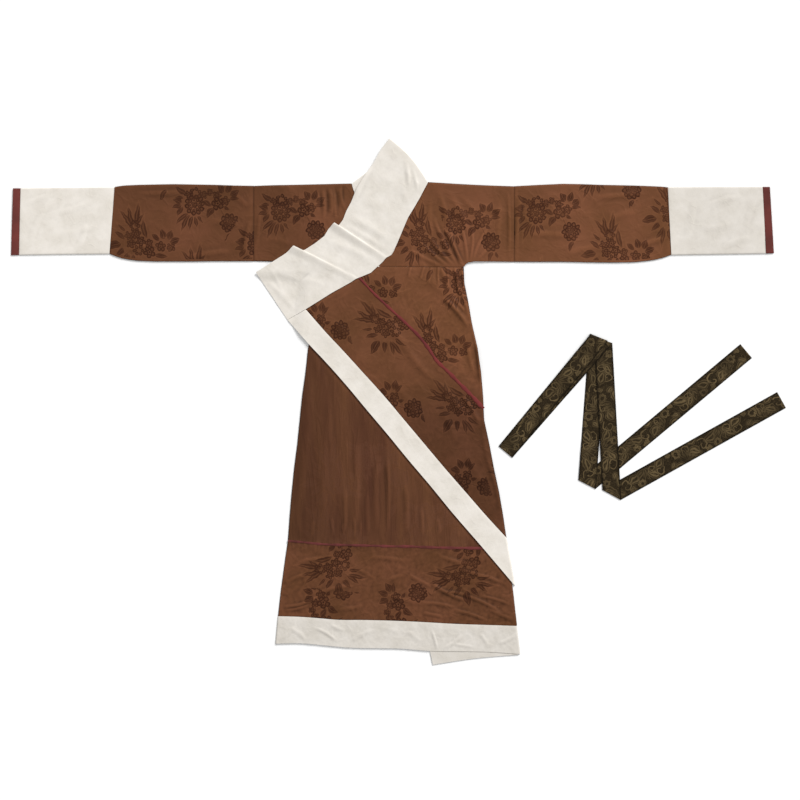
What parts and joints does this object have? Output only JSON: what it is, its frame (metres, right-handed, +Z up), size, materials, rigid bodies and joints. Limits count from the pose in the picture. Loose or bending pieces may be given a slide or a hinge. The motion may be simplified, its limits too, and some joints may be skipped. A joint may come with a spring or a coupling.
{
  "type": "hanfu robe with belt",
  "caption": "Long-sleeved cross-collared robe laid out flat, its lapel wrapped slantwise across the front to the side, with pale collar, cuffs and edges, and its folded belt beside it.",
  "frame": {"origin": "on the surface that the robe and its belt lie on, under the middle of their whole outline, which is under the back of the skirt", "axes": "+X from the robe's middle towards the belt, along the spread sleeves; +Y towards the neck; +Z up from the surface, out of the front of the robe"},
  "size_m": [2.2335, 1.517, 0.0123],
  "materials": {
    "figured_silk": "brown damask with a darker sheen of flower sprays",
    "plain_silk": "plain dark brown silk, slightly ribbed",
    "cream_cloth": "matt cream plain weave",
    "maroon_cloth": "matt maroon plain weave",
    "belt_brocade": "dark olive brown brocade with lighter scrolls"
  },
  "bodies": {
    "root": {"bodice_back": "figured_silk", "bodice_left": "figured_silk", "bodice_right": "figured_silk", "sleeve_left": "figured_silk", "sleeve_right": "figured_silk", "cuff_left": "cream_cloth", "cuff_right": "cream_cloth", "cuff_binding_left": "maroon_cloth", "cuff_binding_right": "maroon_cloth", "collar": "cream_cloth", "collar_back": "cream_cloth", "collar_under": "cream_cloth", "side_panel": "figured_silk", "lapel_panel": "figured_silk", "lapel_band": "cream_cloth", "piping_diagonal": "maroon_cloth", "under_skirt": "plain_silk", "piping_straight": "maroon_cloth", "hem_panel": "figured_silk", "hem_band": "cream_cloth", "return_panel": "figured_silk", "return_band": "cream_cloth", "skirt_back": "figured_silk", "hem_back": "cream_cloth", "belt": "belt_brocade"}
  },
  "joints": []
}
